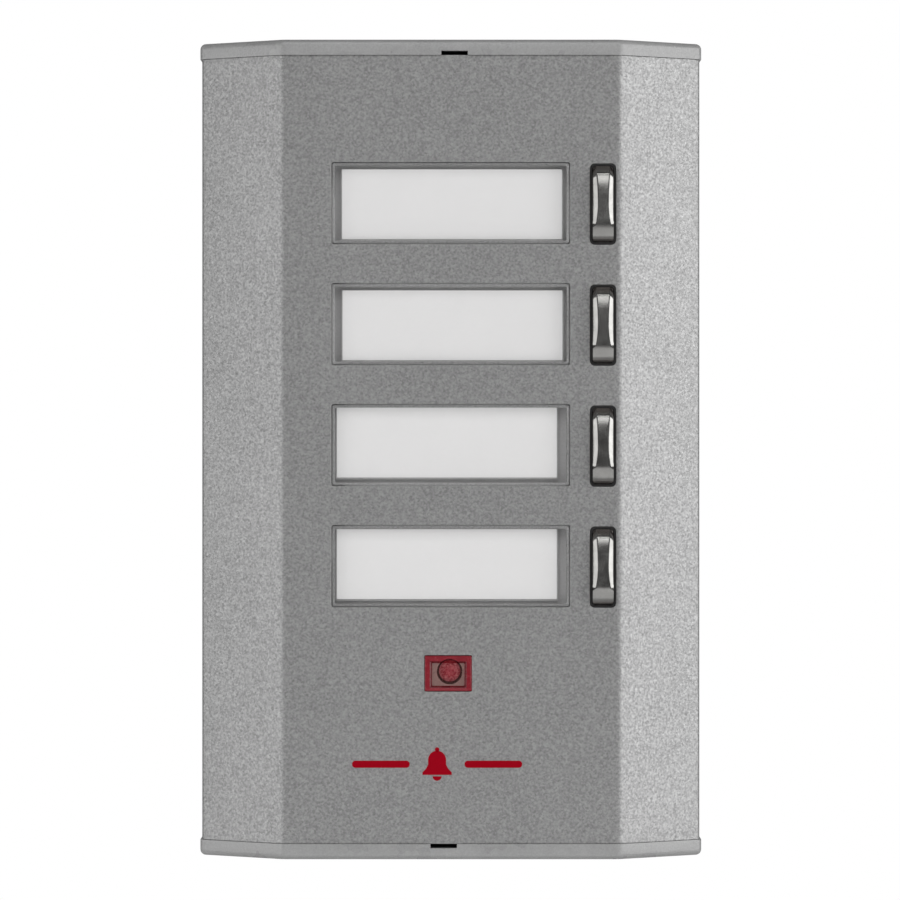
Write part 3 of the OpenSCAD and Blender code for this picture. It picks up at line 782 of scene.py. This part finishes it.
paint = sparkle_paint()
cap_plastic = moulded("cap_plastic", grey(0.265), grey(0.395), rough=0.28, specular=0.7)
dark_abs = moulded("dark_abs", grey(0.022), grey(0.042), rough=0.55, grain=0.5 * MM)
black_plastic = moulded("black_plastic", grey(0.008), grey(0.02), rough=0.42)
grey_plastic = moulded("grey_plastic", grey(0.44), grey(0.56))
opal = moulded("opal_plastic", grey(0.70), grey(0.78), rough=0.4, depth=0.003 * MM)
green_plastic = moulded("terminal_green", (0.015, 0.09, 0.035), (0.025, 0.13, 0.055), rough=0.35)
epoxy = moulded("black_epoxy", grey(0.008), grey(0.016), rough=0.3)
tan_lacquer = moulded("resistor_lacquer", (0.46, 0.33, 0.18), (0.58, 0.43, 0.26), rough=0.35)
blue_sleeve = moulded("capacitor_sleeve", (0.012, 0.016, 0.045), (0.02, 0.03, 0.08), rough=0.3)
phosphor = moulded("led_phosphor", (0.75, 0.66, 0.28), (0.85, 0.78, 0.42), rough=0.35)
zinc = bright_metal("zinc_plate", (0.55, 0.56, 0.58), (0.72, 0.73, 0.75))
nickel = bright_metal("nickel_plate", (0.5, 0.46, 0.38), (0.66, 0.62, 0.54))
steel = bright_metal("spring_wire", (0.42, 0.42, 0.44), (0.6, 0.6, 0.62), rough=0.25)
clear = clear_plastic()
chamfer_highlight = painted_chamfer_highlight()

finish_node("front_profile", paint, edge=0.12 * MM)
for node in ("top_cap", "bottom_cap"):
    finish_node(node, cap_plastic)
finish_node("wall_plate", dark_abs, edge=0.2 * MM)
finish_node("cable_grommet", rubber(), edge=0.25 * MM)
finish_node("window_carrier", grey_plastic)
finish_node("key_guide", black_plastic, edge=0.08 * MM)
finish_node("circuit_board", board_green())
finish_node("board_screws", zinc, edge=0.1 * MM)
finish_node("terminal_block", green_plastic, edge=0.12 * MM)
finish_node("terminal_clamps", nickel)
finish_node("terminal_screws", zinc, edge=0.06 * MM)
finish_node("resistors", tan_lacquer)
finish_node("diodes", epoxy)
finish_node("capacitor", blue_sleeve, edge=0.4 * MM)
finish_node("backlight_leds", phosphor, edge=0.1 * MM)
finish_node("led_spacer", black_plastic)
per_row("name_card", card_paper())
per_row("card_holder", grey_plastic)
per_row("light_diffuser", opal)
per_row("key_carrier", black_plastic)
per_row("switch_body", epoxy)
per_row("switch_plunger", black_plastic)

plating = worn_plating()
for row in ROWS:
    name_window(row, clear, chamfer_highlight)
    key_cap(row, plating)
    return_spring(row, steel)
lamp_at, clear_radius = middle("indicator_led"), 2.66 * MM
indicator(
    red_plastic(
        "red_plastic", (0.20, 0.009, 0.019), (0.34, 0.021, 0.035), 0.85, lamp_at, clear_radius),
    red_pane(lamp_at, clear_radius),
    # Painted shade: the stepped lip round the recess takes a darker copy of the red plastic.
    red_plastic(
        "red_lip_shaded", (0.13, 0.003, 0.010), (0.22, 0.006, 0.016), 0.7, lamp_at, clear_radius))
indicator_lamp(zinc)
bell_sign(printed_red())


# ------------------------------------------------------------------ stage, light, camera


def pale_floor():
    """Wide pale disc below the panel that fades out at its rim."""
    level, radius = -0.30, 1.6
    fade_start, fade_end = 0.7, 1.5
    mesh = bmesh.new()
    bmesh.ops.create_circle(mesh, cap_ends=True, segments=96, radius=radius)
    data = bpy.data.meshes.new("floor")
    mesh.to_mesh(data)
    mesh.free()
    floor = bpy.data.objects.new("floor", data)
    bpy.context.scene.collection.objects.link(floor)
    floor.location.z = level
    f = Finish("pale_floor")
    tone = f.noise(0.2, detail=2)
    body = f.shader(
        Base_Color=f.shades(tone, grey(0.80), grey(0.82)), Roughness=f.spread(tone, 0.8, 0.9))
    reach = f.node("ShaderNodeVectorMath", operation="LENGTH")
    f.feed(reach.inputs[0], f.place)
    fade = f.spread(reach.outputs["Value"], 0, 1, fade_start, fade_end)
    behind = f.node("ShaderNodeNewGeometry").outputs["Backfacing"]
    through = f.node("ShaderNodeBsdfTransparent")
    hide = f.sum(fade, behind, "MAXIMUM")
    data.materials.append(f.done(f.over(hide, body, through.outputs[0])))


def soft_light(name, direction, distance, size, strength):
    """Softbox facing the panel from an azimuth and elevation, its strength given as radiance."""
    azimuth, elevation = (math.radians(a) for a in direction)
    aim = Vector((math.sin(azimuth) * math.cos(elevation),
                  -math.cos(azimuth) * math.cos(elevation), math.sin(elevation)))
    width, height = size
    data = bpy.data.lights.new(name, "AREA")
    data.shape = "RECTANGLE"
    data.size, data.size_y = width, height
    data.energy = strength * width * height * math.pi
    lamp = bpy.data.objects.new(name, data)
    lamp.location = aim * distance
    lamp.rotation_mode = "QUATERNION"
    lamp.rotation_quaternion = aim.to_track_quat("Z", "Y")
    lamp.visible_camera = False
    bpy.context.scene.collection.objects.link(lamp)


def studio_world():
    """White to the camera; a dim front and brighter back for everything it lights."""
    world = bpy.data.worlds.new("studio")
    world.use_nodes = True
    tree = world.node_tree
    tree.nodes.clear()
    add, link = tree.nodes.new, tree.links.new
    direction = add("ShaderNodeTexCoord")
    split = add("ShaderNodeSeparateXYZ")
    link(direction.outputs["Generated"], split.inputs[0])
    ramp = add("ShaderNodeMapRange")
    ramp.inputs["From Min"].default_value = 0.2
    ramp.inputs["From Max"].default_value = 1
    ramp.inputs["To Min"].default_value = 0.15
    ramp.inputs["To Max"].default_value = 0.24
    link(split.outputs["Y"], ramp.inputs["Value"])
    dim, white = add("ShaderNodeBackground"), add("ShaderNodeBackground")
    link(ramp.outputs["Result"], dim.inputs["Strength"])
    for background in (dim, white):
        background.inputs["Color"].default_value = (1, 1, 1, 1)
    seen = add("ShaderNodeLightPath")
    mix = add("ShaderNodeMixShader")
    link(seen.outputs["Is Camera Ray"], mix.inputs[0])
    link(dim.outputs[0], mix.inputs[1])
    link(white.outputs[0], mix.inputs[2])
    end = add("ShaderNodeOutputWorld")
    link(mix.outputs[0], end.inputs["Surface"])
    bpy.context.scene.world = world


def photo_camera():
    """Level camera straight in front, far enough away for the panel's mild perspective."""
    away, seen_width = 1.1, 190.4 * MM
    off_x, off_z = -0.17 * MM, -0.12 * MM
    data = bpy.data.cameras.new("camera")
    data.sensor_width = 36
    data.lens = data.sensor_width * away / seen_width
    data.clip_start = 0.05
    camera = bpy.data.objects.new("camera", data)
    camera.location = (off_x, FACE_Y - away, off_z)
    camera.rotation_euler = (math.radians(90), 0, 0)
    bpy.context.scene.collection.objects.link(camera)
    bpy.context.scene.camera = camera


pale_floor()
studio_world()
soft_light("left_softbox", (-61, 0), distance=1.0, size=(0.88, 0.65), strength=1.98)
soft_light("right_softbox", (70, -3), distance=1.9, size=(1.7, 2.0), strength=3.0)
soft_light("top_softbox", (0, 44), distance=2.2, size=(2.4, 0.5), strength=3.4)
soft_light("ridge_strip", (4, 18.5), distance=2.4, size=(0.5, 0.62), strength=2.8)
soft_light("low_fill", (0, -30), distance=0.45, size=(0.9, 0.16), strength=0.58)
photo_camera()
bpy.context.scene.view_settings.view_transform = "Standard"

bpy.context.view_layer.update()
